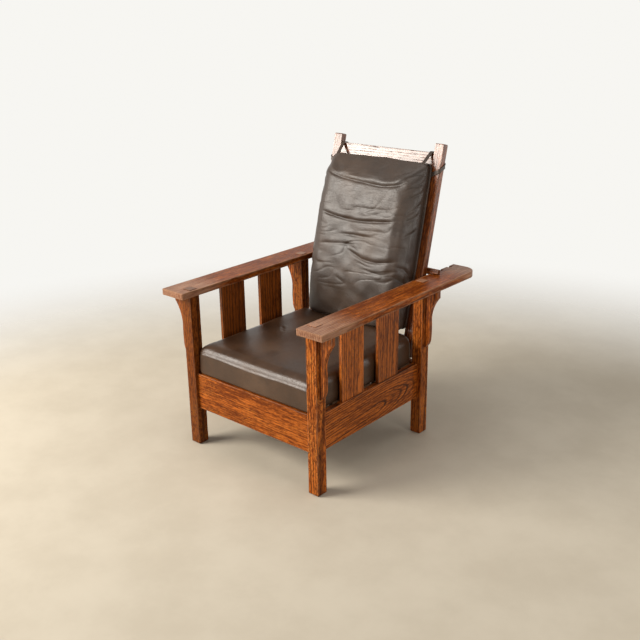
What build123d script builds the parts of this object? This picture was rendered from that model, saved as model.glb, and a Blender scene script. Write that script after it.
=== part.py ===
from build123d import *
from math import cos, radians, sin
import os

os.makedirs("parts", exist_ok=True)

# Mission reclining armchair. Millimetres, +Z up, the front faces -Y, +X is the sitter's left.
# The origin is on the floor, in the middle of the chair's width and depth.

# Posts and the arms that cap them
frame_width = 636.0          # over the posts' outer faces
frame_depth = 634.0          # front posts' front faces to rear posts' rear faces
post_size = 44.0
arm_underside = 584.0
arm_thickness = 23.0
arm_inner_overhang = 5.0     # past the post, towards the sitter
arm_outer_overhang = 61.0
arm_front_overhang = 38.0
arm_rear_overhang = 229.0    # the long tail that carries the support bar
arm_tail_radius = 55.0
arm_nose_radius = 4.0
arm_easing = 2.0             # rounding of the arm's long edges
arris = 1.2                  # small bevel on every other long wooden edge
foot_bevel = 4.0
tenon_size = 34.0            # square through-tenon on the top of each post
tenon_proud = 1.6
tenon_bevel = 1.0

# Seat rails
rail_height = 138.0
rail_bottom = 149.0
rail_thickness = 22.0
front_rail_setback = 11.0
rear_rail_setback = 13.0
side_rail_setback = 19.0
rail_tenon_thickness = 10.0
rail_tenon_shoulder = 14.0   # above and below the tenon
cross_rail_tenon = 24.0
side_rail_tenon = 14.0
joint_clearance = 0.1        # glue gap round every tenon
tenon_end_gap = 0.5

# Upright slats between the side rails and the arms
slat_width = 118.0
slat_thickness = 14.0
slat_pitch = 202.0
slat_setback = 5.0           # behind the side rail's outer face
slat_foot = 12.0             # housed in the rail
slat_head = 10.0             # housed in the arm

# Brackets under the arms, one on each post
bracket_reach = 54.0
bracket_nose = 30.0
bracket_sweep = 34.5         # reach and drop half way down the hollow sweep
bracket_sweep_drop = 60.0
bracket_neck = 20.5
bracket_neck_drop = 115.0
bracket_belly = 22.0
bracket_taper_drop = 195.0
bracket_cheek = 15.5         # reach and drop half way down the end taper
bracket_cheek_drop = 214.0
bracket_length = 228.0
bracket_tip = 5.0
bracket_thickness = 18.0

# Seat deck that carries the cushion
cleat_size = 22.0
deck_slat_count = 7
deck_slat_width = 55.0
deck_slat_thickness = 12.0
deck_side_clearance = 0.5

# Wood screws
screw_head_radius = 3.6
screw_shank_radius = 1.8
screw_head_height = 2.4
screw_hole_clearance = 0.05
deck_screw_length = 28.0
deck_screw_inset = 11.0
cleat_screw_length = 34.0
cleat_screw_count = 4
cleat_screw_margin = 70.0
hinge_screw_length = 16.0
hinge_screw_width_shares = (-0.33, 0.0, 0.33)    # of the hinge's width, from its middle
hinge_screw_depth_shares = (0.4, 0.67, 0.4)      # of the leaf's depth

# Leaning back
lean = 14.0                  # degrees from upright with the bar in the first notch
back_side_gap = 17.0         # from each stile to the rear post beside it
stile_width = 38.0
stile_thickness = 27.0
stile_top = 800.0            # along the lean, from the hinge axis
stile_top_bevel = 2.5
crest_drop = 33.5            # crest rail's top below the stiles' tops
crest_height = 75.0
crest_thickness = 20.0
ladder_count = 4
ladder_height = 62.0
ladder_thickness = 12.0
lower_rail_height = 78.0
lower_rail_thickness = 24.0
back_tenon = 20.0
back_tenon_thickness = 8.0
back_tenon_shoulder = 9.0

# Butt hinges between the rear seat rail and the back
leaf_thickness = 2.0
leaf_depth = 24.0
knuckle_radius = 3.5
knuckle_count = 5
knuckle_gap = 0.15
hinge_width = 62.0
hinge_spread_share = 0.685   # of the space between the stiles, from hinge to hinge
hinge_pin_radius = 1.6
pin_clearance = 0.05
pin_head_radius = 2.6
pin_head_length = 1.5
leaf_notch = 0.6

# Support bar and the notches that it drops into
bar_depth = 14.0
bar_height = 24.0
bar_overlap = 35.0           # past the arm's inner edge, at each end
bar_bevel = 1.5
notch_count = 3
notch_pitch = 59.0
notch_width = 15.0           # along the bar
notch_play = 4.5             # room in front of the bar, to lift it out
notch_depth = 7.0            # at the notch's rear wall
rest_gap = 0.3               # between pieces that only rest on each other

# Seat cushion. The insets are how far the outline draws in at each level, on each side.
seat_side_gap = 0.8              # to the posts
seat_front_setback = 18.0        # behind the front posts' front faces
seat_rear_gap = 7.0              # to the lower back rail
seat_height = 116.0
seat_corner = 12.0
seat_bow = 1.6
seat_crown_reach = 150.0         # how far in the crown's top lies
seat_level_shares = (0.0, 0.05, 0.2, 0.5, 0.78, 0.88, 0.945, 0.975, 0.989, 0.996, 1.0)
seat_side_shares = (0.045, 0.015, 0.0, 0.0, 0.01, 0.035, 0.08, 0.17, 0.36, 0.64, 1.0)
seat_front_shares = (0.055, 0.02, 0.0, 0.0, 0.015, 0.055, 0.115, 0.2, 0.38, 0.66, 1.0)
seat_rear_shares = (0.045, 0.015, 0.0, 0.0, 0.035, 0.13, 0.32, 0.58, 0.86, 1.1, 1.4)

# Back cushion: its rear seam lies on the stiles and its sides belly out in front of that
back_cushion_seat_gap = 0.9      # above the seat cushion's crown
back_cushion_top_drop = 47.0     # below the crest rail's top
back_cushion_onto_stile = 5.0
back_cushion_lower_belly = 12.0
back_cushion_upper_draw = 3.0
back_cushion_thickness = 118.0
back_cushion_lower_corner = 44.0
back_cushion_upper_corner = 12.0
back_cushion_side_bow = 13.0
back_cushion_end_bow = 5.0
back_cushion_crown_share = 0.76  # of its half width, how far in the crown's top lies
back_level_shares = (0.0, 0.06, 0.2, 0.4, 0.62, 0.78, 0.88, 0.95, 0.985, 1.0)
back_belly_shares = (0.0, 0.4, 0.8, 1.0, 1.0, 1.0, 1.0, 1.0, 1.0, 1.0)
back_inset_shares = (0.015, 0.0, 0.0, 0.0, 0.05, 0.15, 0.27, 0.45, 0.7, 1.0)

# Straps that tie the back cushion to the stiles
strap_width = 15.0
strap_thickness = 2.5
strap_apex_inset = 11.0          # from the stile to the strap's middle, on top of the crest rail
strap_leg_lean = 8.0             # how far the front leg leans in from there
strap_leg_depth = 38.0           # how far forward of the crest rail it meets the cushion
strap_outer_drop = 42.0          # below the crest's top, where it turns round the stile's outer face
strap_side_fall = 20.0           # fall across the stile's outer face
strap_front_fall = 25.0          # fall across the stile's front
strap_end_share = 0.35           # of the cushion's side bow, where the strap meets its side

# Places that follow from the sizes above
post_x = (frame_width - post_size) / 2
inner_x = frame_width / 2 - post_size
arm_length = arm_front_overhang + frame_depth + arm_rear_overhang
frame_front = arm_front_overhang - arm_length / 2
frame_rear = frame_front + frame_depth
arm_rear = frame_rear + arm_rear_overhang
arm_inner_x = inner_x - arm_inner_overhang
arm_outer_x = frame_width / 2 + arm_outer_overhang
arm_top = arm_underside + arm_thickness
front_post_y = frame_front + post_size / 2
rear_post_y = frame_rear - post_size / 2
rail_top = rail_bottom + rail_height
side_rail_outer_x = frame_width / 2 - side_rail_setback
side_rail_inner_x = side_rail_outer_x - rail_thickness
side_rail_x = side_rail_outer_x - rail_thickness / 2
front_rail_y = frame_front + front_rail_setback + rail_thickness / 2
rear_rail_y = frame_rear - rear_rail_setback - rail_thickness / 2
rear_rail_rear = rear_rail_y + rail_thickness / 2
side_middle_y = (frame_front + frame_rear) / 2
slat_x = side_rail_outer_x - slat_setback - slat_thickness / 2
bracket_y = {"front": front_post_y, "rear": rear_post_y}
tenon_low = rail_bottom + rail_tenon_shoulder
tenon_high = rail_top - rail_tenon_shoulder

# The back's own plane: its origin is on the hinge axis, its x is +X, its y runs up the lean and
# its z points out of the back's front face.
hinge_y = rear_rail_rear + knuckle_radius
hinge_z = rail_top + leaf_thickness
lean_sin, lean_cos = sin(radians(lean)), cos(radians(lean))
up_the_lean = Vector(0, lean_sin, lean_cos)
out_of_back = Vector(0, -lean_cos, lean_sin)
back_plane = Plane(origin=(0, hinge_y, hinge_z), x_dir=(1, 0, 0), z_dir=out_of_back)
stile_rear = knuckle_radius
stile_front = stile_rear + stile_thickness
stile_middle = (stile_rear + stile_front) / 2
stile_outer_x = inner_x - back_side_gap
stile_inner_x = stile_outer_x - stile_width
hinge_x = hinge_spread_share * stile_inner_x
crest_top = stile_top - crest_drop
crest_bottom = crest_top - crest_height
lower_rail_top = leaf_thickness + lower_rail_height

SIDES = (("left", 1), ("right", -1))


def keep(piece, name):
    """Label one finished piece and write its file."""
    piece.label = name
    export_step(piece, f"parts/{name}.step")


def slab(plane, low, high, depth, mode=Mode.ADD):
    """Extrude the rectangle between two corners of a plane."""
    with BuildSketch(plane) as face:
        with Locations(((low[0] + high[0]) / 2, (low[1] + high[1]) / 2)):
            Rectangle(abs(high[0] - low[0]), abs(high[1] - low[1]))
    extrude(face.sketch, amount=depth, mode=mode)


def upright(x_range, y_range, z_range, mode=Mode.ADD):
    """A straight block between two corners of the row frame."""
    slab(Plane.XY.offset(z_range[0]), (x_range[0], y_range[0]), (x_range[1], y_range[1]),
         z_range[1] - z_range[0], mode)


def around(middle, size, growth=0):
    """The two ends of a span, grown alike at both."""
    return middle - size / 2 - growth, middle + size / 2 + growth


def mirrored(span, side):
    """A span of x on the side that is asked for, low end first."""
    return tuple(sorted((span[0] * side, span[1] * side)))


def wood_screws(planes, length):
    """Countersunk screws, heads flush with their planes and pointing against the planes' z."""
    with BuildPart() as screws:
        for plane in planes:
            with Locations(plane):
                Cylinder(screw_shank_radius, length, align=(Align.CENTER, Align.CENTER, Align.MAX))
                Cone(screw_shank_radius, screw_head_radius, screw_head_height,
                     align=(Align.CENTER, Align.CENTER, Align.MAX))
    return screws


def screw_holes(planes, length):
    """Take the same screws' holes out of the piece that is being made."""
    hole = screw_shank_radius + screw_hole_clearance
    for plane in planes:
        with Locations(plane):
            Cylinder(hole, length + tenon_end_gap, align=(Align.CENTER, Align.CENTER, Align.MAX),
                     mode=Mode.SUBTRACT)
            Cone(hole, screw_head_radius + screw_hole_clearance, screw_head_height,
                 align=(Align.CENTER, Align.CENTER, Align.MAX), mode=Mode.SUBTRACT)


# Screw places: deck slats into the cleats, cleats into the side rails, hinge leaves into the wood
deck_front = front_rail_y + rail_thickness / 2
deck_rear = rear_rail_y - rail_thickness / 2
deck_gap = (deck_rear - deck_front - deck_slat_count * deck_slat_width) / (deck_slat_count + 1)
deck_slat_y = [deck_front + deck_gap + deck_slat_width / 2 + i * (deck_gap + deck_slat_width)
               for i in range(deck_slat_count)]
cleat_top = rail_top - deck_slat_thickness
cleat_inner_x = side_rail_inner_x - cleat_size
cleat_front = frame_front + post_size
cleat_rear = frame_rear - post_size
cleat_screw_step = (cleat_rear - cleat_front - 2 * cleat_screw_margin) / (cleat_screw_count - 1)


def deck_screw_planes(y):
    """One screw at each end of a deck slat, into the cleats."""
    x = side_rail_inner_x - deck_screw_inset
    return [Plane(origin=(side * x, y, rail_top), z_dir=(0, 0, 1)) for _, side in SIDES]


def cleat_screw_planes(side):
    """The row of screws through one cleat into its side rail."""
    return [Plane(origin=(side * cleat_inner_x, cleat_front + cleat_screw_margin + i * cleat_screw_step,
                          cleat_top - cleat_size / 2), z_dir=(-side, 0, 0))
            for i in range(cleat_screw_count)]


def hinge_screw_planes(side, on_back):
    """Three screws through one hinge leaf, staggered across it."""
    middle = side * hinge_x
    planes = []
    for width_share, depth_share in zip(hinge_screw_width_shares, hinge_screw_depth_shares):
        x = middle + width_share * hinge_width
        reach = depth_share * leaf_depth + knuckle_radius / 2
        if on_back:
            place = back_plane.origin + out_of_back * reach
            planes.append(Plane(origin=(x, place.Y, place.Z), z_dir=up_the_lean * -1))
        else:
            planes.append(Plane(origin=(x, hinge_y - reach, hinge_z), z_dir=(0, 0, 1)))
    return planes


rail_leaf_screws = [plane for _, side in SIDES for plane in hinge_screw_planes(side, False)]
back_leaf_screws = [plane for _, side in SIDES for plane in hinge_screw_planes(side, True)]

# Posts, with the through-tenon on top and the mortises for the rails
for side_name, side in SIDES:
    for end_name, end in (("front", -1), ("rear", 1)):
        post_y = front_post_y if end_name == "front" else rear_post_y
        cross_y = front_rail_y if end_name == "front" else rear_rail_y
        shoulder_y = post_y - end * post_size / 2
        with BuildPart() as post:
            upright(around(side * post_x, post_size), around(post_y, post_size), (0, arm_underside))
            chamfer(post.faces().sort_by(Axis.Z)[0].edges(), foot_bevel)
            chamfer(post.edges().filter_by(Axis.Z), arris)
            upright(around(side * post_x, tenon_size), around(post_y, tenon_size),
                    (arm_underside, arm_top + tenon_proud))
            chamfer(post.faces().sort_by(Axis.Z)[-1].edges(), tenon_bevel)
            upright(mirrored((inner_x, inner_x + cross_rail_tenon + tenon_end_gap), side),
                    around(cross_y, rail_tenon_thickness, joint_clearance),
                    (tenon_low - joint_clearance, tenon_high + joint_clearance), Mode.SUBTRACT)
            mortise_end = shoulder_y + end * (side_rail_tenon + tenon_end_gap)
            upright(around(side * side_rail_x, rail_tenon_thickness, joint_clearance),
                    sorted((shoulder_y, mortise_end)),
                    (tenon_low - joint_clearance, tenon_high + joint_clearance), Mode.SUBTRACT)
        keep(post.part, f"{end_name}_{side_name}_post")

# Front and rear seat rails
for name, y in (("front_seat_rail", front_rail_y), ("rear_seat_rail", rear_rail_y)):
    with BuildPart() as cross_rail:
        upright((-inner_x, inner_x), around(y, rail_thickness), (rail_bottom, rail_top))
        chamfer(cross_rail.edges().filter_by(Axis.X), arris)
        upright((-inner_x - cross_rail_tenon, inner_x + cross_rail_tenon),
                around(y, rail_tenon_thickness), (tenon_low, tenon_high))
        if name == "rear_seat_rail":
            screw_holes(rail_leaf_screws, hinge_screw_length)
    keep(cross_rail.part, name)

# Side seat rails, with housings for the upright slats
slat_ys = (side_middle_y - slat_pitch / 2, side_middle_y + slat_pitch / 2)
for side_name, side in SIDES:
    with BuildPart() as side_rail:
        upright(around(side * side_rail_x, rail_thickness), (cleat_front, cleat_rear),
                (rail_bottom, rail_top))
        chamfer(side_rail.edges().filter_by(Axis.Y), arris)
        upright(around(side * side_rail_x, rail_tenon_thickness),
                (cleat_front - side_rail_tenon, cleat_rear + side_rail_tenon), (tenon_low, tenon_high))
        for y in slat_ys:
            upright(around(side * slat_x, slat_thickness, joint_clearance),
                    around(y, slat_width, joint_clearance),
                    (rail_top - slat_foot - tenon_end_gap, rail_top), Mode.SUBTRACT)
        screw_holes(cleat_screw_planes(side), cleat_screw_length)
    keep(side_rail.part, f"{side_name}_seat_rail")

# Upright slats
for side_name, side in SIDES:
    for end_name, y in zip(("front", "rear"), slat_ys):
        with BuildPart() as slat:
            upright(around(side * slat_x, slat_thickness), around(y, slat_width),
                    (rail_top - slat_foot, arm_underside + slat_head))
            chamfer(slat.edges().filter_by(Axis.Z), arris)
        keep(slat.part, f"{end_name}_{side_name}_slat")

# Support bar: it leans with the back and lies in the first pair of notches. Its ends are lapped,
# so that the lower part drops into the notch and the upper part rides over the arm.
bar_front = stile_rear - rest_gap
bar_rear = bar_front - bar_depth
notch_floor_rear = arm_top - notch_depth
bar_bottom = (notch_floor_rear + rest_gap - hinge_z - bar_rear * lean_sin) / lean_cos
bar_top = bar_bottom + bar_height
bar_end_x = arm_inner_x + bar_overlap
lap_bottom = (arm_top + rest_gap - hinge_z - bar_rear * lean_sin) / lean_cos
lap_x = arm_inner_x + notch_width - rest_gap
with BuildPart() as support_bar:
    slab(back_plane.offset(bar_rear), (-bar_end_x, bar_bottom), (bar_end_x, bar_top), bar_depth)
    chamfer(support_bar.edges().filter_by(Axis.X), bar_bevel)
    for _, side in SIDES:
        slab(back_plane.offset(bar_rear), (side * lap_x, bar_bottom), (side * bar_end_x, lap_bottom),
             bar_depth, Mode.SUBTRACT)
keep(support_bar.part, "support_bar")

# Arms: one board each, mortised for the posts and slats and notched for the bar
for side_name, side in SIDES:
    with BuildPart() as arm:
        with BuildSketch(Plane.XY.offset(arm_underside)):
            with Locations((side * (arm_inner_x + arm_outer_x) / 2, arm_rear - arm_length / 2)):
                Rectangle(arm_outer_x - arm_inner_x, arm_length)
        extrude(amount=arm_thickness)
        corners = arm.edges().filter_by(Axis.Z)
        tail = corners.group_by(Axis.Y)[-1].sort_by(Axis.X)
        fillet(tail[-1 if side > 0 else 0], arm_tail_radius)
        fillet(arm.edges().filter_by(Axis.Z).group_by(Axis.Y)[0], arm_nose_radius)
        fillet(arm.faces().sort_by(Axis.Z)[-1].edges(), arm_easing)
        fillet(arm.faces().sort_by(Axis.Z)[0].edges(), arm_easing)
        for y in (front_post_y, rear_post_y):
            upright(around(side * post_x, tenon_size, joint_clearance),
                    around(y, tenon_size, joint_clearance), (arm_underside, arm_top), Mode.SUBTRACT)
        for y in slat_ys:
            upright(around(side * slat_x, slat_thickness, joint_clearance),
                    around(y, slat_width, joint_clearance),
                    (arm_underside, arm_underside + slat_head + tenon_end_gap), Mode.SUBTRACT)
        for i in range(notch_count):
            notch_plane = Plane(origin=(0, hinge_y + i * notch_pitch, hinge_z), x_dir=(1, 0, 0),
                                z_dir=out_of_back).offset(bar_rear - rest_gap)
            slab(notch_plane, (side * (arm_inner_x - notch_width), bar_bottom - rest_gap),
                 (side * (arm_inner_x + notch_width), bar_top),
                 bar_depth + 2 * rest_gap + notch_play, Mode.SUBTRACT)
    keep(arm.part, f"{side_name}_arm")

# Brackets: a nose under the arm, a hollow sweep into a slim neck and a long taper down the post
for side_name, side in SIDES:
    for end_name, y in bracket_y.items():
        bracket_plane = Plane(origin=(side * frame_width / 2, y, arm_underside), x_dir=(side, 0, 0),
                              z_dir=(0, -side, 0))
        belly_middle = (bracket_neck_drop + bracket_taper_drop) / 2
        with BuildPart() as bracket:
            with BuildSketch(bracket_plane):
                with BuildLine():
                    Polyline((bracket_tip, -bracket_length), (0, -bracket_length), (0, 0),
                             (bracket_reach, 0), (bracket_reach, -bracket_nose))
                    ThreePointArc((bracket_reach, -bracket_nose), (bracket_sweep, -bracket_sweep_drop),
                                  (bracket_neck, -bracket_neck_drop))
                    ThreePointArc((bracket_neck, -bracket_neck_drop), (bracket_belly, -belly_middle),
                                  (bracket_neck, -bracket_taper_drop))
                    ThreePointArc((bracket_neck, -bracket_taper_drop), (bracket_cheek, -bracket_cheek_drop),
                                  (bracket_tip, -bracket_length))
                make_face()
            extrude(amount=bracket_thickness / 2, both=True)
        keep(bracket.part, f"{end_name}_{side_name}_bracket")

# Seat deck: a cleat inside each side rail and slats across them
for side_name, side in SIDES:
    with BuildPart() as cleat:
        upright(mirrored((cleat_inner_x, side_rail_inner_x), side), (cleat_front, cleat_rear),
                (cleat_top - cleat_size, cleat_top))
        chamfer(cleat.edges().filter_by(Axis.Y), arris)
        screw_holes(cleat_screw_planes(side), cleat_screw_length)
        for y in deck_slat_y:
            screw_holes(deck_screw_planes(y), deck_screw_length)
    keep(cleat.part, f"{side_name}_deck_cleat")

deck_slat_x = side_rail_inner_x - deck_side_clearance
for i, y in enumerate(deck_slat_y):
    with BuildPart() as deck_slat:
        upright((-deck_slat_x, deck_slat_x), around(y, deck_slat_width), (cleat_top, rail_top))
        chamfer(deck_slat.edges().filter_by(Axis.X), arris)
        screw_holes(deck_screw_planes(y), deck_screw_length)
    keep(deck_slat.part, f"deck_slat_{i + 1}")

deck_screws = wood_screws([plane for y in deck_slat_y for plane in deck_screw_planes(y)],
                          deck_screw_length)
keep(deck_screws.part, "deck_screws")
cleat_screws = wood_screws([plane for _, side in SIDES for plane in cleat_screw_planes(side)],
                           cleat_screw_length)
keep(cleat_screws.part, "cleat_screws")

# Back frame: stiles, crest rail, ladder slats and lower rail
ladder_space = crest_bottom - lower_rail_top
ladder_gap = (ladder_space - ladder_count * ladder_height) / (ladder_count + 1)
ladder_bottoms = [lower_rail_top + ladder_gap + i * (ladder_gap + ladder_height)
                  for i in range(ladder_count)]
back_rails = [("crest_rail", crest_bottom, crest_height, crest_thickness, stile_middle),
              ("lower_back_rail", leaf_thickness, lower_rail_height, lower_rail_thickness,
               stile_rear + lower_rail_thickness / 2)]
back_rails += [(f"back_slat_{i + 1}", bottom, ladder_height, ladder_thickness, stile_middle)
               for i, bottom in enumerate(ladder_bottoms)]

for side_name, side in SIDES:
    with BuildPart() as stile:
        slab(back_plane.offset(stile_rear), (side * stile_inner_x, leaf_thickness),
             (side * stile_outer_x, stile_top), stile_thickness)
        chamfer(stile.faces().sort_by(Axis.Z)[-1].edges(), stile_top_bevel)
        long_edges = [e for e in stile.edges() if e.length > stile_top / 2]
        chamfer(long_edges, arris)
        for _, bottom, height, _, middle in back_rails:
            tenon_rear = middle - back_tenon_thickness / 2 - joint_clearance
            slab(back_plane.offset(tenon_rear),
                 (side * stile_inner_x, bottom + back_tenon_shoulder - joint_clearance),
                 (side * (stile_inner_x + back_tenon + tenon_end_gap),
                  bottom + height - back_tenon_shoulder + joint_clearance),
                 back_tenon_thickness + 2 * joint_clearance, Mode.SUBTRACT)
    keep(stile.part, f"{side_name}_back_stile")

for name, bottom, height, thickness, middle in back_rails:
    with BuildPart() as back_rail:
        slab(back_plane.offset(middle - thickness / 2), (-stile_inner_x, bottom),
             (stile_inner_x, bottom + height), thickness)
        chamfer(back_rail.edges().filter_by(Axis.X), arris)
        slab(back_plane.offset(middle - back_tenon_thickness / 2),
             (-stile_inner_x - back_tenon, bottom + back_tenon_shoulder),
             (stile_inner_x + back_tenon, bottom + height - back_tenon_shoulder), back_tenon_thickness)
        if name == "lower_back_rail":
            screw_holes(back_leaf_screws, hinge_screw_length)
    keep(back_rail.part, name)

# Butt hinges: a leaf on the rear seat rail, a leaf under the lower back rail and a pin
knuckle_length = hinge_width / knuckle_count


def hinge_leaf(side, on_back):
    """One leaf: a plate tangent to its knuckles, cut back where the other leaf's knuckles turn."""
    middle = side * hinge_x
    depth_way = out_of_back if on_back else Vector(0, -1, 0)
    profile = Plane(origin=(middle, hinge_y, hinge_z), x_dir=depth_way, z_dir=(-1 if on_back else 1, 0, 0))
    clear = knuckle_radius + leaf_notch
    with BuildPart() as leaf:
        with BuildSketch(profile):
            Circle(knuckle_radius)
            with Locations((leaf_depth / 2, leaf_thickness / 2)):
                Rectangle(leaf_depth, leaf_thickness)
        extrude(amount=hinge_width / 2, both=True)
        for i in range(knuckle_count):
            if (i % 2 == 1) != on_back:
                with BuildSketch(profile.offset(-hinge_width / 2 + i * knuckle_length - knuckle_gap)):
                    Rectangle(2 * clear, 2 * clear)
                extrude(amount=knuckle_length + 2 * knuckle_gap, mode=Mode.SUBTRACT)
        with BuildSketch(profile):
            Circle(hinge_pin_radius + pin_clearance)
        extrude(amount=hinge_width / 2 + knuckle_gap, both=True, mode=Mode.SUBTRACT)
        screw_holes(hinge_screw_planes(side, on_back), hinge_screw_length)
    return leaf.part


for side_name, side in SIDES:
    keep(hinge_leaf(side, False), f"{side_name}_hinge_rail_leaf")
    keep(hinge_leaf(side, True), f"{side_name}_hinge_back_leaf")
    pin_plane = Plane(origin=(side * hinge_x, hinge_y, hinge_z), z_dir=(1, 0, 0))
    with BuildPart() as hinge_pin:
        with BuildSketch(pin_plane):
            Circle(hinge_pin_radius)
        extrude(amount=hinge_width / 2 + pin_clearance, both=True)
        for z_way in (1, -1):
            with BuildSketch(pin_plane.offset(z_way * (hinge_width / 2 + pin_clearance))):
                Circle(pin_head_radius)
            extrude(amount=z_way * pin_head_length)
    keep(hinge_pin.part, f"{side_name}_hinge_pin")

keep(wood_screws(rail_leaf_screws, hinge_screw_length).part, "hinge_rail_screws")
keep(wood_screws(back_leaf_screws, hinge_screw_length).part, "hinge_back_screws")


def bowed_outline(plane, half_low, half_high, low, high, side_bow, end_bow, low_corner, high_corner):
    """A four-sided outline with bowed sides and round corners."""
    middle = (low + high) / 2
    belly = (half_low + half_high) / 2 + side_bow
    with BuildSketch(plane) as outline:
        with BuildLine():
            ThreePointArc((-half_low, low), (0, low - end_bow), (half_low, low))
            ThreePointArc((half_low, low), (belly, middle), (half_high, high))
            ThreePointArc((half_high, high), (0, high + end_bow), (-half_high, high))
            ThreePointArc((-half_high, high), (-belly, middle), (-half_low, low))
        make_face()
        rows = outline.vertices().group_by(Axis.Y)
        fillet(rows[0], low_corner)
        rows = outline.vertices().filter_by(lambda v: abs(v.Y - high) < high_corner / 2)
        fillet(rows, high_corner)
    return outline.sketch


# Seat cushion: boxed sides that draw in at the bottom, and a crown that falls away to the rear
seat_front = frame_front + seat_front_setback + seat_bow
seat_rear = hinge_y - stile_rear - lower_rail_thickness - seat_rear_gap - seat_bow
with BuildPart() as seat_cushion:
    levels = []
    for level, side_share, front_share, rear_share in zip(seat_level_shares, seat_side_shares,
                                                          seat_front_shares, seat_rear_shares):
        half = inner_x - seat_side_gap - seat_bow - side_share * seat_crown_reach
        levels.append(bowed_outline(
            Plane.XY.offset(rail_top + rest_gap + level * seat_height), half, half,
            seat_front + front_share * seat_crown_reach, seat_rear - rear_share * seat_crown_reach,
            seat_bow, seat_bow, seat_corner, seat_corner))
    loft(levels, ruled=True)
keep(seat_cushion.part, "seat_cushion")

# Back cushion: it stands on the seat cushion, and its crown narrows towards the front
back_cushion_low = (rail_top + rest_gap + seat_height + back_cushion_seat_gap - hinge_z
                    - stile_front * lean_sin) / lean_cos
back_cushion_top = crest_top - back_cushion_top_drop
seam_half = stile_inner_x + back_cushion_onto_stile - back_cushion_side_bow
back_crown_reach = back_cushion_crown_share * seam_half
with BuildPart() as back_cushion:
    levels = []
    for level, belly_share, inset_share in zip(back_level_shares, back_belly_shares, back_inset_shares):
        inset = inset_share * back_crown_reach
        levels.append(bowed_outline(
            back_plane.offset(stile_front + rest_gap + level * back_cushion_thickness),
            seam_half + belly_share * back_cushion_lower_belly - inset,
            seam_half - belly_share * back_cushion_upper_draw - inset,
            back_cushion_low + back_cushion_end_bow + inset,
            back_cushion_top - back_cushion_end_bow - inset,
            back_cushion_side_bow, back_cushion_end_bow,
            back_cushion_lower_corner, back_cushion_upper_corner))
    loft(levels, ruled=True)
keep(back_cushion.part, "back_cushion")


def band(plane, corners):
    """One flat run of a strap, between four corners of a plane."""
    with BuildSketch(plane) as face:
        with BuildLine():
            Polyline(*corners, close=True)
        make_face()
    extrude(face.sketch, amount=strap_thickness)


# Straps: from the cushion's top over the crest rail, down behind the stile, round its outer face
# and back across its front to the cushion's side
half_strap = strap_width / 2
crest_front = stile_middle + crest_thickness / 2
over_x = stile_inner_x - strap_apex_inset
over_top = crest_top + rest_gap
behind = stile_rear - rest_gap - strap_thickness
front_skin = stile_front + rest_gap
side_skin = stile_outer_x + rest_gap
crest_skin = crest_front + rest_gap
leg_drop = over_top - (back_cushion_top + back_cushion_end_bow + rest_gap)
leg_dir = back_plane.from_local_coords(Vector(0, leg_drop, -strap_leg_depth)) - back_plane.origin
leg_length = leg_dir.length
rear_corner = crest_top - strap_outer_drop
front_corner = rear_corner - strap_side_fall
strap_end = front_corner - strap_front_fall
strap_end_x = seam_half + strap_end_share * back_cushion_side_bow
for side_name, side in SIDES:
    inner_over, outer_over = side * (over_x - half_strap), side * (over_x + half_strap)
    outer_skin = side * (side_skin + strap_thickness)
    with BuildPart() as strap:
        # down from the crest's front edge to the cushion's top
        leg_plane = Plane(origin=back_plane.from_local_coords(Vector(0, over_top, crest_skin)),
                          x_dir=(1, 0, 0), z_dir=leg_dir.cross(Vector(1, 0, 0)) * -1)
        band(leg_plane, [(inner_over, strap_thickness), (outer_over, strap_thickness),
                         (outer_over - side * strap_leg_lean, -leg_length),
                         (inner_over - side * strap_leg_lean, -leg_length)])
        # over the crest's top edge
        top_plane = Plane(origin=back_plane.from_local_coords(Vector(0, over_top, 0)),
                          x_dir=(1, 0, 0), z_dir=up_the_lean)
        band(top_plane, [(inner_over, -behind), (outer_over, -behind),
                         (outer_over, -crest_skin - strap_thickness),
                         (inner_over, -crest_skin - strap_thickness)])
        # behind the crest and the stile
        band(back_plane.offset(behind),
             [(inner_over, over_top + strap_thickness), (outer_over, over_top + strap_thickness),
              (outer_skin, rear_corner + half_strap), (outer_skin, rear_corner - half_strap)])
        # round the stile's outer face
        side_plane = Plane(origin=back_plane.from_local_coords(Vector(side * side_skin, 0, 0)),
                           x_dir=out_of_back, z_dir=(side, 0, 0))
        up_way = side_plane.y_dir.dot(up_the_lean)
        band(side_plane, [(behind, up_way * (rear_corner - half_strap)),
                          (behind, up_way * (rear_corner + half_strap)),
                          (front_skin + strap_thickness, up_way * (front_corner + half_strap)),
                          (front_skin + strap_thickness, up_way * (front_corner - half_strap))])
        # across the stile's front to the cushion's side
        band(back_plane.offset(front_skin),
             [(outer_skin, front_corner + half_strap), (outer_skin, front_corner - half_strap),
              (side * strap_end_x, strap_end - half_strap), (side * strap_end_x, strap_end + half_strap)])
    keep(strap.part, f"{side_name}_strap")

print("hinge axis y, z:", round(hinge_y, 3), round(hinge_z, 3))
print("bar slides along:", tuple(round(v, 5) for v in up_the_lean))
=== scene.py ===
from math import cos, log, pi, radians, sin

import bpy
import numpy as np
from mathutils import Matrix, Quaternion, Vector


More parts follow.
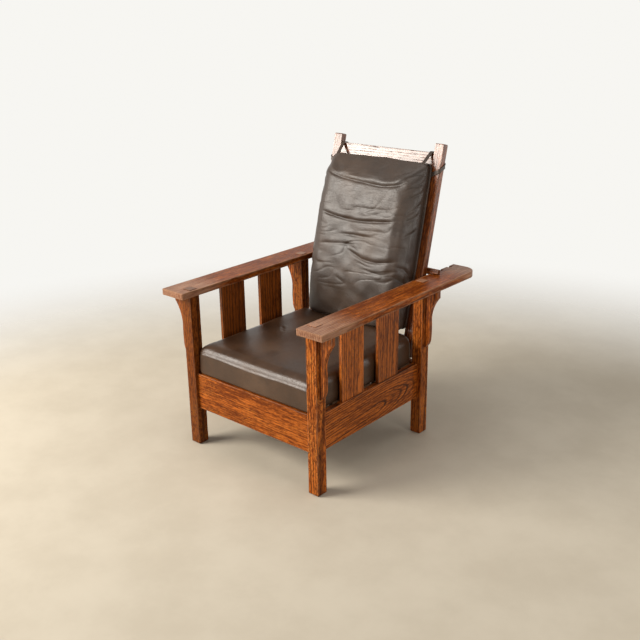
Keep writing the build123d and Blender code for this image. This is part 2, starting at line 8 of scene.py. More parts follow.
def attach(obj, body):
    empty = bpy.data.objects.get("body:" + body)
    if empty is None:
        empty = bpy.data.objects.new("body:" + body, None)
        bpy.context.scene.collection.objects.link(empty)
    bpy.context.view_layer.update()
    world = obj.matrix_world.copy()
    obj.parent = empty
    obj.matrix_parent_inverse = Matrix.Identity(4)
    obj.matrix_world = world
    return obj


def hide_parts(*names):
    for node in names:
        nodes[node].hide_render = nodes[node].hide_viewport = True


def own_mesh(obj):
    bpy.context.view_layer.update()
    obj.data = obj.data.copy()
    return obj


# Mission reclining armchair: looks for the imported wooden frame, its hinged back and its cushions.
# Metres, +Z up, the front faces -Y and +X is the sitter's left.
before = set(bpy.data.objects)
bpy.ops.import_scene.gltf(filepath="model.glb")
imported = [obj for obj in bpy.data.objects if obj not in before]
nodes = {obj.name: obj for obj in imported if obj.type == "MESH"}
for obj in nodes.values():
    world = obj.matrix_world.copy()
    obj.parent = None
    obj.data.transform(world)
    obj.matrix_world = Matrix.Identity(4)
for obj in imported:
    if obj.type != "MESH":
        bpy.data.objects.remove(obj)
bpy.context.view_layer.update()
scene = bpy.context.scene
print("frame loaded:", len(nodes), "pieces")

# the back's own plane: x is +X, the second axis runs up the lean, the third points out of its front
lean = radians(14.0)
hingePoint = np.array([0.0, 0.212, 0.289])
upTheLean = np.array([0.0, sin(lean), cos(lean)])
outOfBack = np.array([0.0, -cos(lean), sin(lean)])


def fromBack(x, up, out):
    # a point is the hinge point plus x along +X, up along the lean and out along the front's normal
    x, up, out = np.broadcast_arrays(x, up, out)
    return (hingePoint + x[..., None] * np.array([1.0, 0.0, 0.0])
            + up[..., None] * upTheLean + out[..., None] * outOfBack)


def toBack(points):
    # the same three measures read back from row points, one column each
    away = points - hingePoint
    return np.stack([away[:, 0], away @ upTheLean, away @ outOfBack], 1)


def readRows(mesh, key):
    # a vertex attribute of three numbers, one row for each vertex
    flat = np.empty(len(mesh.vertices) * 3, np.float32)
    mesh.vertices.foreach_get(key, flat)
    return flat.reshape(-1, 3).astype(float)


def writePoints(mesh, points):
    # the rows become the mesh's points
    mesh.vertices.foreach_set("co", points.astype(np.float32).ravel())
    mesh.update()


def smoothStep(value, low, high):
    # rises from 0 at low to 1 at high along 3t^2 - 2t^3
    t = np.clip((value - low) / (high - low), 0, 1)
    return t * t * (3 - 2 * t)


def circle(sides):
    # cosine and sine of even angles, one row for each
    turn = np.linspace(0, 2 * np.pi, sides, endpoint=False)
    return np.stack([np.cos(turn), np.sin(turn)], 1)


def newObject(name, data):
    # an object of this data, at the origin
    thing = bpy.data.objects.new(name, data)
    scene.collection.objects.link(thing)
    return thing


def newPiece(name, points, faces):
    # a smooth-shaded mesh from row points and lists of their numbers
    mesh = bpy.data.meshes.new(name)
    mesh.from_pydata(points.tolist(), [], faces)
    mesh.polygons.foreach_set("use_smooth", np.ones(len(mesh.polygons), bool))
    return newObject(name, mesh)


# shader wires

class Wire:
    # wraps one socket, so that sums and products of values add their Math nodes
    def __init__(self, tree, socket=None):
        self.tree, self.socket = tree, socket

    def add(self, kind, settings=None, sockets=None, out=0):
        # any node: its settings first, then the values or wires of its sockets
        node = self.tree.nodes.new(kind)
        for key, value in (settings or {}).items():
            setattr(node, key, value)
        for key, value in (sockets or {}).items():
            if isinstance(value, Wire):
                self.tree.links.new(value.socket, node.inputs[key])
            else:
                node.inputs[key].default_value = value
        return Wire(self.tree, node.outputs[out] if node.outputs else None)

    def other(self, out):
        # another output of this wire's node
        return Wire(self.tree, self.socket.node.outputs[out])

    def maths(self, operation, first, second=0.0):
        return self.add("ShaderNodeMath", {"operation": operation}, {0: first, 1: second})

    def __add__(self, value):
        return self.maths("ADD", self, value)

    def __sub__(self, value):
        return self.maths("SUBTRACT", self, value)

    def __rsub__(self, value):
        return self.maths("SUBTRACT", value, self)

    def __mul__(self, value):
        return self.maths("MULTIPLY", self, value)

    def __truediv__(self, value):
        return self.maths("DIVIDE", self, value)

    def __pow__(self, value):
        return self.maths("POWER", self, value)

    def least(self, value):
        return self.maths("MINIMUM", self, value)

    def most(self, value):
        return self.maths("MAXIMUM", self, value)

    def size(self):
        return self.maths("ABSOLUTE", self)

    def part(self):
        return self.maths("FRACT", self)

    def rise(self, low, high, start=0.0, end=1.0):
        # smooth step between two values, from start to end
        return self.add("ShaderNodeMapRange", {"interpolation_type": "SMOOTHSTEP"},
                        {"Value": self, "From Min": low, "From Max": high, "To Min": start, "To Max": end})

    def vector(self, operation, second):
        return self.add("ShaderNodeVectorMath", {"operation": operation}, {0: self, 1: second})

    def noise(self, scales, detail=2.0, roughness=0.5, distortion=0.0):
        # noise of the point stretched by a scale on each axis
        return self.add("ShaderNodeTexNoise", None,
                        {"Vector": self.vector("MULTIPLY", scales), "Scale": 1.0,
                         "Detail": detail, "Roughness": roughness, "Distortion": distortion})

    def noises(self, table):
        # the table's noises by name
        return {key: self.noise(*values) for key, values in table.items()}

    def tint(self, colour, share):
        # this colour turned towards another by a share, which may be a wire
        return self.add("ShaderNodeMix", {"data_type": "RGBA"}, {0: share, 6: self, 7: (*colour, 1.0)}, out=2)


def newMaterial(name):
    # an empty material and a wire with no socket, to add its nodes with
    material = bpy.data.materials.new(name)
    material.use_nodes = True
    material.node_tree.nodes.clear()
    return material, Wire(material.node_tree)


def mixColours(wire, first, second, share):
    # the first colour turned towards the second by the share
    return wire.add("ShaderNodeMix", {"data_type": "RGBA"},
                    {0: share, 6: (*first, 1.0), 7: (*second, 1.0)}, out=2)


def weighed(parts, shares, start):
    # the start plus each part times its share
    total = start
    for key, share in shares.items():
        total = parts[key] * share + total
    return total


def finishMaterial(wire, sockets, height, depth, strength):
    # one Principled shader with a bump, whose height is given in shares of the depth
    sockets["Normal"] = wire.add("ShaderNodeBump", None,
                                 {"Strength": strength, "Distance": depth, "Height": height})
    shader = wire.add("ShaderNodeBsdfPrincipled", None, sockets)
    wire.add("ShaderNodeOutputMaterial", None, {"Surface": shader})


def dress(node, material):
    # the material takes the place of all that the node had
    node.data.materials.clear()
    node.data.materials.append(material)


def boardGrain(wire, node, along, across, shifts):
    # the point, the same turned and moved so that the board's grain runs along x, its width along y
    # and its middle is 0, that moved on by the shifts for the noise, and the board's half sizes
    along, across = Vector(along).normalized(), Vector(across).normalized()
    turn = Matrix((along, across, along.cross(across)))
    points = readRows(node.data, "co") @ np.array(turn).T
    low, high = points.min(0), points.max(0)
    point = wire.add("ShaderNodeTexCoord", out=3)
    board = wire.add("ShaderNodeMapping", {"vector_type": "POINT"},
                     {"Vector": point, "Rotation": turn.to_euler(), "Location": tuple(-(low + high) / 2)})
    return point, board, board.vector("ADD", shifts), ((high - low) / 2).tolist()


# oak

oakStain = {
    "deep": (0.038, 0.0098, 0.0022), "stain": (0.15, 0.031, 0.0042), "lit": (0.5, 0.13, 0.0175),
    "pore": (0.02, 0.006, 0.0016), "fleck": (0.66, 0.225, 0.042), "worn": (0.36, 0.19, 0.105),
    "bleachedAndSheen": (0.4, 0.235, 0.155), "roughness": 0.25, "coatRoughness": 0.09, "bump": (0.00035, 0.6),
}

# noise scales along, across and through the board, then its detail, roughness and distortion
oakNoise = {
    "bend": ((1.6, 7.0, 7.0), 2.0), "ripple": ((7.0, 55.0, 55.0), 2.0),
    "dashes": ((52.0, 190.0, 190.0), 2.0, 0.6), "streaks": ((13.0, 150.0, 150.0), 4.0, 0.65),
    "fibre": ((16.0, 420.0, 420.0), 2.0, 0.6), "pores": ((30.0, 380.0, 380.0), 1.0),
    "ribbon": ((38.0, 75.0, 45.0), 2.0, 0.5, 1.1), "patches": ((6.0, 14.0, 14.0), 1.0),
    "slow": ((2.6, 11.0, 11.0), 2.0, 0.6), "rub": ((22.0, 60.0, 60.0), 3.0, 0.6),
}

# what all cuts share; most tuples are smooth steps: from, to and the values there
oakRules = {
    # how a board's shift moves the noise along, across and through it
    "shift": (1.0, 0.37, 0.71),
    # how far slow noise bends the rings, across and through, and fast noise ripples them; sweep: slope
    # and start of a straight line that moves the side rails' log away, so that rings close in arches
    "bend": (0.028, 0.02), "ripple": 0.0016, "sweep": (0.21, -0.008),
    # a ring's dark line over its span, and how quickly its strength changes from ring to ring
    "lineRise": (0.0, 0.16), "lineFall": (0.18, 0.62, 1.0, 0.0),
    "changes": 70.0, "strength": (0.3, 0.65, 0.5, 1.0),
    "pores": (0.52, 0.66), "poresOffLines": 0.25, "ribbon": (0.006, 0.06, 1.0, 0.0), "patches": (0.42, 0.6),
    "wearNoise": 3.2, "wearStep": (0.1, 1.25), "tone": {"slow": 1.1, "streaks": 2.6, "fibre": 0.8},
    # the arms' ends, bleached and with a painted sheen, along the board, and where noise lets them show
    "bleachAndSheen": 0.95, "frontEnd": (-0.36, -0.22, 1.0, 0.0), "rearEnd": (0.3, 0.41),
    "endNoise": (0.55, 0.95, 0.4, 1.0), "endSlow": 0.5,
    "bleachAndSheenShows": {"lines": -0.45, "pores": -0.4}, "wearShows": {"pores": -0.6},
    "endShadeReach": 0.01, "postTop": (0.0005, 0.0015, 0.65, 0.0),
    "rough": {"fibre": 0.1, "pores": 0.22, "wear": 0.16, "flecks": -0.05},
    "height": {"pores": -0.8, "lines": -0.25, "fibre": 0.25},
    "coat": {"pores": -0.9, "lines": -0.35, "wear": -0.3},
    # the back's coat lies on its broad faces, from this far inside them, and on the stiles' upper part
    "coatFace": (0.003, 0.001, 0.1, 1.0), "stileCoat": (0.24, 0.33, 0.12),
    "stileMost": {"left": 1.0, "right": 0.65},
}

# heart: how far the log's middle lies from the board's, across it and behind its face; tilt: the
# log's slant to the board, across and through; ring: the rings' spacing; wear: how far from an edge
# it is rubbed; tone: the mean, from 0, stain, to 1, lit; the rest says how strongly each thing shows
oakKeys = ("heart", "tilt", "ring", "rings", "pores", "mottle", "flecks", "tone", "wear", "worn", "ends",
           "specular", "coat")
oakTable = {
    "post": ((0.12, 0.03), (0.012, 0.02), 0.0095, 0.72, 0.8, 4.2, 0.7, 0.52, 0.0035, 0.3, 0.6, 0.1, 0.02),
    "slat": ((0.07, 0.11), (0.01, 0.02), 0.0085, 0.75, 0.85, 2.0, 0.25, 0.7, 0.0025, 0.25, 0.6, 0.2, 0.04),
    "frontRail": ((-0.16, 0.05), (0.02, 0.02), 0.008, 0.4, 0.55, 1.7, 0.3, 0.36, 0.003, 0.25, 0.6, 0.08, 0.02),
    "sideRail": ((-0.026, 0.002), (-0.07, 0.0), 0.0088, 0.95, 0.65, 1.2, 0.1, 0.5, 0.003, 0.25, 0.6, 0.14, 0.03),
    "arm": ((0.16, 0.05), (0.01, 0.02), 0.0085, 0.45, 0.6, 1.3, 0.25, 0.17, 0.006, 0.6, 0.0, 0.07, 0.0),
    "bracket": ((0.05, 0.06), (0.02, 0.05), 0.008, 0.75, 0.8, 2.0, 0.2, 0.46, 0.003, 0.5, 0.4, 0.16, 0.05),
    "back": ((0.09, 0.05), (0.01, 0.02), 0.008, 0.6, 0.85, 2.4, 0.25, 0.36, 0.0035, 0.4, 0.2, 0.3, 0.85),
}
oakCuts = {cut: dict(zip(oakKeys, values)) for cut, values in oakTable.items()}

# the outline of the posts' tenons on the arms' tops: a joint line made wide and dark, as painted shade round the
# proud tenons
tenonLook = {"aside": 0.296, "along": (-0.3905, 0.1995), "half": 0.0178, "line": (0.0005, 0.0016, 0.9, 0.0),
             "top": (0.6055, 0.6062)}


def oakMaterial(name, node, along, across, cut, shift, darker, side):
    # Rings are the saw of the distance to the log's middle, bent by slow noise. Pores are long thin
    # noise that gathers on the rings, flecks are ribbons of noise across the grain, and wear follows
    # the middle one of the three distances to the board's sides, which is 0 on an edge.
    look, rule = oakCuts[cut], oakRules
    material, wire = newMaterial(name)
    shifts = tuple(shift * share for share in rule["shift"])
    point, board, grain, half = boardGrain(wire, node, along, across, shifts)
    sides = wire.add("ShaderNodeSeparateXYZ", None, {"Vector": board})
    u, v, w = sides, sides.other(1), sides.other(2)
    noise = grain.noises(oakNoise)

    bend = noise["bend"] - 0.5
    aside = v - look["heart"][0] + u * look["tilt"][0] + bend * rule["bend"][0]
    behind = w + look["heart"][1] + u * look["tilt"][1] + bend * rule["bend"][1]
    if cut == "sideRail":
        behind = behind + (u * rule["sweep"][0] + rule["sweep"][1]).most(0.0)
    radius = (aside * aside + behind * behind) ** 0.5 + (noise["ripple"] - 0.5) * rule["ripple"]
    saw = (radius / look["ring"]).part()
    strong = wire.add("ShaderNodeTexNoise", {"noise_dimensions": "1D"},
                      {"W": radius * rule["changes"] + shift, "Scale": 1.0, "Detail": 1.0})
    lines = saw.rise(*rule["lineRise"]) * saw.rise(*rule["lineFall"]) * strong.rise(*rule["strength"])
    offLines = rule["poresOffLines"]
    pores = noise["pores"].rise(*rule["pores"]) * (lines * (1 - offLines) + offLines)
    ribbon = (noise["ribbon"] - 0.5).size().rise(*rule["ribbon"])
    flecks = ribbon * noise["patches"].rise(*rule["patches"])

    gaps = [h - d.size() for h, d in zip(half, (u, v, w))]
    larger, smaller = gaps[0].most(gaps[1]), gaps[0].least(gaps[1])
    edge = smaller.most(larger.least(gaps[2]))
    wear = edge / look["wear"] + (noise["rub"] - 0.5) * rule["wearNoise"]
    wear = wear.rise(*rule["wearStep"], look["worn"], 0.0)
    parts = {"lines": lines, "pores": pores, "flecks": flecks, "wear": wear, "fibre": noise["fibre"]}

    centred = {key: noise[key] - 0.5 for key in ("slow", "streaks", "dashes", "fibre")}
    tone = weighed(centred, {**rule["tone"], "dashes": look["mottle"]}, look["tone"])
    colour = mixColours(wire, oakStain["stain"], oakStain["lit"], tone.rise(0.0, 1.0))
    colour = colour.tint(oakStain["fleck"], flecks * look["flecks"])
    colour = colour.tint(oakStain["deep"], lines * look["rings"])
    colour = colour.tint(oakStain["pore"], pores * look["pores"])
    # painted reflection and wear: the arms' ends turn pinkish grey for the varnish's sheen as well as for
    # bleaching
    if cut == "arm":
        ends = u.rise(*rule["frontEnd"]) + u.rise(*rule["rearEnd"])
        ends = ends * (noise["streaks"] + noise["slow"] * rule["endSlow"]).rise(*rule["endNoise"])
        ends = ends * rule["bleachAndSheen"] * weighed(parts, rule["bleachAndSheenShows"], 1.0)
        colour = colour.tint(oakStain["bleachedAndSheen"], ends)
    colour = colour.tint(oakStain["worn"], wear * weighed(parts, rule["wearShows"], 1.0))
    # painted shade: boards darken towards the deep stain within a centimetre of their ends, where they meet
    # other parts, and posts towards their foot
    if look["ends"]:
        fromEnd = u + half[0] if cut == "post" else gaps[0]
        colour = colour.tint(oakStain["deep"], fromEnd.rise(0.0, rule["endShadeReach"], look["ends"], 0.0))
    if cut == "post":
        colour = colour.tint(oakStain["bleachedAndSheen"], (half[0] - u).rise(*rule["postTop"]))
    # painted shade on the far side's boards, and darker on some others: the colour turns towards the deep stain
    # by the board's share
    if darker:
        colour = colour.tint(oakStain["deep"], darker)
    # painted shade: a dark band round each tenon on the arm's top stands in for the joint and the tenon's shadow
    if cut == "arm":
        xyz = wire.add("ShaderNodeSeparateXYZ", None, {"Vector": point})
        x, y, z = xyz, xyz.other(1), xyz.other(2)
        tenonX = tenonLook["aside"] if side == "left" else -tenonLook["aside"]
        for tenonY in tenonLook["along"]:
            reach = (x - tenonX).size().most((y - tenonY).size())
            joint = (reach - tenonLook["half"]).size().rise(*tenonLook["line"]) * z.rise(*tenonLook["top"])
            colour = colour.tint(oakStain["pore"], joint)

    coat = weighed(parts, rule["coat"], 1.0) * look["coat"]
    if cut == "back":
        far, near, *ends = rule["coatFace"]
        coat = coat * w.size().rise(half[2] - far, half[2] - near, *ends)
    if "stile" in name:
        coat = coat * u.rise(*rule["stileCoat"], rule["stileMost"][side])
    rough = weighed(parts, rule["rough"], oakStain["roughness"])
    finishMaterial(wire, {"Base Color": colour, "Roughness": rough, "Coat Weight": coat,
                          "Coat Roughness": oakStain["coatRoughness"],
                          "Specular IOR Level": look["specular"]},
                   weighed(parts, rule["height"], 1.0), *oakStain["bump"])
    dress(node, material)


upright, sideways, foreAft, leanUp = (0, 0, 1), (1, 0, 0), (0, 1, 0), tuple(upTheLean)
# how much darker single boards are made, towards the deep stain; on the far side's boards this is painted shade
darkerBoards = {"front_right_post": 0.58, "rear_left_post": 0.22, "rear_right_post": 0.3,
                "front_right_slat": 0.48, "rear_left_slat": 0.22, "rear_right_slat": 0.38,
                "front_right_bracket": 0.3, "left_back_stile": 0.3, "right_back_stile": 0.45,
                "crest_rail": 0.5, "support_bar": 0.5}


def oakPart(node, along, across, cut, shift, side=None):
    # one node's oak: the shift gives each board grain of its own
    oakMaterial(node.replace("_", " ") + " oak", nodes[node], along, across, cut, shift,
                darkerBoards.get(node, 0.0), side)


for index, side in enumerate(("left", "right")):
    for step, end in enumerate(("front", "rear")):
        key = 2 * index + step
        oakPart(f"{end}_{side}_post", upright, sideways, "post", 1.3 + key)
        oakPart(f"{end}_{side}_slat", upright, foreAft, "slat", 7.1 + key)
        oakPart(f"{end}_{side}_bracket", upright, sideways, "bracket", 15.7 + key)
    oakPart(f"{side}_arm", foreAft, sideways, "arm", 23.9 + index, side)
    oakPart(f"{side}_seat_rail", foreAft, upright, "sideRail", 31.4 + index)
    oakPart(f"{side}_back_stile", leanUp, sideways, "back", 37.2 + index, side)
oakPart("front_seat_rail", sideways, upright, "frontRail", 41.8)
oakPart("rear_seat_rail", sideways, upright, "frontRail", 44.6)
oakPart("crest_rail", sideways, leanUp, "back", 47.5)
oakPart("lower_back_rail", sideways, leanUp, "back", 49.9)
for index in range(1, 5):
    oakPart(f"back_slat_{index}", sideways, leanUp, "back", 52.3 + index)
oakPart("support_bar", sideways, leanUp, "bracket", 59.1)
print("oak finished")


# seat deck, hinges and screws

deckLook = {
    "colours": ((0.13, 0.072, 0.036), (0.25, 0.15, 0.08)),
    "noise": {"fibre": ((6.0, 260.0, 260.0), 4.0, 0.6), "bands": ((2.0, 60.0, 60.0), 2.0, 0.5)},
    "tone": {"fibre": 0.6, "bands": 0.9}, "toneStart": -0.25, "toneStep": (0.0, 1.0),
    "rough": {"fibre": 0.2}, "roughness": 0.56, "bump": (0.0003, 0.5),
}


def streaked(wire, grain, colours, look, **sockets):
    # a tone weighed from the look's noises mixes the two colours, the same noises change the
    # roughness, and the first of them is the bump
    noise = grain.noises(look["noise"])
    tone = weighed(noise, look["tone"], look["toneStart"]).rise(*look["toneStep"])
    rough = weighed(noise, look["rough"], look["roughness"])
    finishMaterial(wire, {"Base Color": mixColours(wire, *colours, tone), "Roughness": rough, **sockets},
                   next(iter(noise.values())), *look["bump"])


def deckMaterial(name, node, along, across, shift, look):
    # plain hardwood: fine fibre noise and slow bands along the board
    material, wire = newMaterial(name)
    grain = boardGrain(wire, node, along, across, (shift, shift, shift))[2]
    streaked(wire, grain, look["colours"], look)
    dress(node, material)


for index in range(1, 8):
    deckMaterial(f"deck slat {index} wood", nodes[f"deck_slat_{index}"], sideways, foreAft,
                 61.0 + index, deckLook)
for index, side in enumerate(("left", "right")):
    deckMaterial(f"{side} cleat wood", nodes[f"{side}_deck_cleat"], foreAft, upright,
                 71.0 + index, deckLook)

steelLook = {
    "hinge": ((0.11, 0.1, 0.09), (0.24, 0.22, 0.19)), "screw": ((0.16, 0.15, 0.14), (0.34, 0.32, 0.29)),
    "noise": {"brushed": ((90.0, 1500.0, 1500.0), 2.0), "stain": ((55.0, 55.0, 55.0), 3.0, 0.6)},
    "tone": {"stain": 0.9, "brushed": 0.3}, "toneStart": -0.1, "toneStep": (0.1, 0.9),
    "rough": {"stain": 0.25, "brushed": 0.1}, "roughness": 0.27, "bump": (0.0001, 0.4),
}


def steelMaterial(kind, owners, look):
    # dull steel: fine brushing, darker stain in slow patches
    material, wire = newMaterial(kind + " steel")
    streaked(wire, wire.add("ShaderNodeTexCoord", out=3), look[kind], look, Metallic=1.0)
    for owner in owners:
        dress(nodes[owner], material)


hingeParts = [f"{side}_hinge_{part}" for side in ("left", "right")
              for part in ("rail_leaf", "back_leaf", "pin")]
steelMaterial("hinge", hingeParts, steelLook)
steelMaterial("screw", ["deck_screws", "cleat_screws", "hinge_rail_screws", "hinge_back_screws"], steelLook)
print("deck and hinges finished")


# leather

leatherLook = {
    "seat": {"deep": (0.026, 0.012, 0.0055), "brown": (0.078, 0.037, 0.0165), "rubbed": (0.118, 0.067, 0.038),
             "roughness": 0.17, "specular": 0.45, "crease": (60.0, 60.0, 60.0)},
    "back": {"deep": (0.02, 0.011, 0.0062), "brown": (0.054, 0.029, 0.0155), "rubbed": (0.092, 0.058, 0.037),
             "roughness": 0.28, "specular": 0.64, "crease": (24.0, 60.0, 90.0)},
    "strap": {"deep": (0.022, 0.012, 0.007), "brown": (0.06, 0.035, 0.022), "rubbed": (0.17, 0.12, 0.09),
              "roughness": 0.29, "specular": 0.45, "crease": (60.0, 60.0, 60.0)},
    # the grain's cells to the metre and how far they run into each other
    "pebble": 520.0, "melt": 0.6,
    "noise": {"fine": ((1300.0, 1300.0, 1300.0), 2.0), "mottle": ((16.0, 16.0, 16.0), 3.0, 0.6),
              "patches": ((5.0, 5.0, 5.0), 2.0, 0.5)},
    "creaseNoise": (3.0, 0.55, 0.8), "creaseStep": (0.0, 0.035, 1.0, 0.0), "creaseShade": 0.35,
    "rubbedStep": (0.52, 0.75), "rubbed": 0.35, "tone": {"mottle": 0.8, "patches": 0.7}, "toneStart": -0.25,
    "rough": {"cells": 0.1, "mottle": 0.16, "patches": 0.1, "creases": 0.05},
    "height": {"cells": -0.9, "creases": -0.8, "fine": 0.2}, "bump": (0.0003, 0.55),
}


def leatherMaterial(kind, shift=0.0):
    # pebbled grain from the distance between cells, small creases from thin ribbons of noise, darkened in
    # them as painted shade, and slow patches of wear in colour and gloss
    look, rule = leatherLook[kind], leatherLook
    material, wire = newMaterial(kind + " leather")
    skin = wire.add("ShaderNodeTexCoord", out=3).vector("ADD", (shift, shift, shift))
    parts = skin.noises(rule["noise"])
    parts["cells"] = wire.add("ShaderNodeTexVoronoi", {"feature": "SMOOTH_F1"},
                              {"Vector": skin, "Scale": rule["pebble"], "Smoothness": rule["melt"]})
    ribbons = skin.noise(look["crease"], *rule["creaseNoise"]) - 0.5
    parts["creases"] = ribbons.size().rise(*rule["creaseStep"])
    tone = weighed(parts, rule["tone"], rule["toneStart"]).rise(0.0, 1.0)
    colour = mixColours(wire, look["deep"], look["brown"], tone)
    colour = colour.tint(look["rubbed"], parts["patches"].rise(*rule["rubbedStep"]) * rule["rubbed"])
    # painted shade: the small creases are turned towards the deep brown
    colour = colour.tint(look["deep"], parts["creases"] * rule["creaseShade"])
    finishMaterial(wire, {"Base Color": colour, "Roughness": weighed(parts, rule["rough"], look["roughness"]),
                          "Specular IOR Level": look["specular"]},
                   weighed(parts, rule["height"], 1.0), *rule["bump"])
    return material


seatLeather = leatherMaterial("seat")
backLeather = leatherMaterial("back", 3.7)
strapLeather = leatherMaterial("strap", 8.2)


# cushion covers

# the middle of a round corner lies this share of its radius, 1 - 1/sqrt(2), inside the sides
cornerShare = 0.293


def superOutline(halfWide, halfLong, cornerLow, cornerHigh, count):
    # a superellipse by polar angle: the radius is (|cos/a|^k + |sin/b|^k)^(-1/k), with a k for the low
    # and one for the high end that take it past the middle of a round corner
    cosine, sine = circle(count).T

    def power(corner):
        return log(2) / -log(1 - cornerShare * corner / halfWide)

    k = np.where(sine < 0, power(cornerLow), power(cornerHigh))
    radius = (np.abs(cosine / halfWide) ** k + np.abs(sine / halfLong) ** k) ** (-1 / k)
    return radius * cosine, radius * sine


def closedShell(name, rings):
    # quads between the rings, and a fan to a middle point under the first and over the last
    rows, count = rings.shape[:2]
    points = np.vstack([rings[0].mean(0), rings.reshape(-1, 3), rings[-1].mean(0)])
    here, there = np.arange(count), (np.arange(count) + 1) % count
    row = 1 + np.arange(rows - 1)[:, None] * count
    quads = np.stack([row + here, row + there, row + count + there, row + count + here], -1).reshape(-1, 4)
    top = 1 + (rows - 1) * count
    under = np.stack([np.zeros_like(here), 1 + there, 1 + here], -1)
    over = np.stack([np.full_like(here, len(points) - 1), top + here, top + there], -1)
    return newPiece(name, points, quads.tolist() + under.tolist() + over.tolist())


stuffing = {
    "voxel": 0.006, "frames": 20, "smoothing": 0.5, "passes": 4,
    "cloth": {"vertex_group_mass": "held", "quality": 3, "mass": 0.35, "tension_stiffness": 30.0,
              "compression_stiffness": 30.0, "bending_stiffness": 4.0, "use_pressure": True,
              "uniform_pressure_force": 1.2},
}


def applied(piece, name, kind, **values):
    # a modifier with these values, applied at once
    modifier = piece.modifiers.new(name, kind)
    for key, value in values.items():
        setattr(modifier, key, value)
    bpy.ops.object.modifier_apply(modifier=modifier.name)


def stuffed(piece, cap, heldAt, look):
    # voxel remesh, then cloth blown up by pressure with no gravity, each point's way cut at the cap;
    # the points that heldAt picks stay where the seam or the seat holds them; then the surface is
    # evened out and made finer
    bpy.context.view_layer.objects.active = piece
    applied(piece, "even skin", "REMESH", mode="VOXEL", voxel_size=look["voxel"], use_smooth_shade=True)
    rest = readRows(piece.data, "co")
    held = piece.vertex_groups.new(name="held")
    held.add(np.flatnonzero(heldAt(rest)).tolist(), 1.0, "REPLACE")
    cloth = piece.modifiers.new("stuffing", "CLOTH")
    for key, value in look["cloth"].items():
        setattr(cloth.settings, key, value)
    cloth.settings.effector_weights.gravity = 0.0
    cloth.point_cache.frame_start, cloth.point_cache.frame_end = 1, look["frames"]
    for number in range(1, look["frames"] + 1):
        scene.frame_set(number)
    bpy.ops.object.modifier_apply(modifier=cloth.name)
    scene.frame_set(1)
    way = readRows(piece.data, "co") - rest
    length = np.linalg.norm(way, axis=1, keepdims=True)
    writePoints(piece.data, rest + way * np.minimum(1, cap / np.maximum(length, 1e-9)))
    print(piece.name, "swelled by up to", round(float(length.max()) * 1000, 1), "mm")
    applied(piece, "even surface", "SMOOTH", factor=look["smoothing"], iterations=look["passes"])
    applied(piece, "finer skin", "SUBSURF", levels=1, render_levels=1)
    piece.data.polygons.foreach_set("use_smooth", np.ones(len(piece.data.polygons), bool))


def kept(points, low, high, margin):
    # a soft limit on each axis: past the limit less the margin m, the excess e becomes m(1 - exp(-e/m))
    low, high = np.array(low) + margin, np.array(high) - margin
    over, under = np.maximum(points - high, 0), np.maximum(low - points, 0)
    return points - over - under + margin * (np.exp(-under / margin) - np.exp(-over / margin))


# steps along a fold's line and how many its smoothing spans; fade: the share of the line over which
# each end fades, and its limit in metres; blunt: how round the bottom is; above and below: how much
# wider each side is; lip: the swelling's place and reach in widths, and its height in depths
foldLook = {"steps": 161, "span": 43, "fade": (0.35, 0.06), "blunt": 0.0012, "above": 1.5, "below": 0.8,
            "lip": (2.6, 2.0, 0.35)}


def fold(along, across, line, depth, width):
    # a crease along a line of (along, across) points: it falls off exponentially with the distance to
    # the line, more slowly above it, with a soft swelling there, and fades at the line's ends
    look = foldLook
    xs, ys = np.array(line, float).T
    steps = np.linspace(xs[0], xs[-1], look["steps"])
    kernel = np.hanning(look["span"]) / np.hanning(look["span"]).sum()
    side = look["span"] // 2
    run = np.interp(steps, xs, ys)
    run = np.concatenate([2 * run[0] - run[side:0:-1], run, 2 * run[-1] - run[-2:-side - 2:-1]])
    middle = np.interp(along, steps, np.convolve(run, kernel, "valid"))
    slope = (ys[-1] - ys[0]) / (xs[-1] - xs[0])
    off = (across - middle) / np.sqrt(1 + slope * slope)
    reach = min(look["fade"][0] * (xs[-1] - xs[0]), look["fade"][1])
    fade = smoothStep(along, xs[0], xs[0] + reach) * (1 - smoothStep(along, xs[-1] - reach, xs[-1]))
    blunt = np.sqrt(off * off + look["blunt"] ** 2) - look["blunt"]
    steep = blunt / (width * np.where(off > 0, look["above"], look["below"]))
    place, spread, lip = look["lip"]
    swell = lip * np.exp(-((off - place * width) / (spread * width)) ** 2)
    return depth * fade * (swell - np.exp(-steep))


def folds(along, across, lines):
    # all creases of one face added up
    return sum(fold(along, across, *one) for one in lines)


# count: how many sines are summed; waves: the fewest and the most of them to a length; over: what
# the sum is divided by
wavesLook = {"count": 7, "waves": (0.6, 1.5), "over": 3}
# lengths as shares of the net's own, along and across, for what bends it and for its patches; bend:
# how far, in lengths; patchStep: the heights between which a patch begins and is full
netLook = {"count": 6, "waves": (0.6, 1.4), "over": 1.7, "bendLengths": (2, 4), "bend": 0.3,
           "patchLengths": (1.5, 3), "patchStep": (-0.2, 0.9)}


def sineSum(draw, places, look, length=1.0):
    # sines added up: each has a seeded direction, seeded waves to a length and a seeded phase
    ways = draw.normal(size=(look["count"], places.shape[1]))
    waveCounts = draw.uniform(*look["waves"], (look["count"], 1))
    ways *= 2 * np.pi * waveCounts / np.linalg.norm(ways, axis=1, keepdims=True)
    phases = draw.uniform(0, 6.28, look["count"])
    return np.sin(places @ (ways / length).T + phases).sum(1)


def waves(points, seed, length, height):
    # slow unevenness: seeded sines, about one wave to each length
    look = wavesLook
    return height * sineSum(np.random.default_rng(seed), points, look, length) / look["over"]


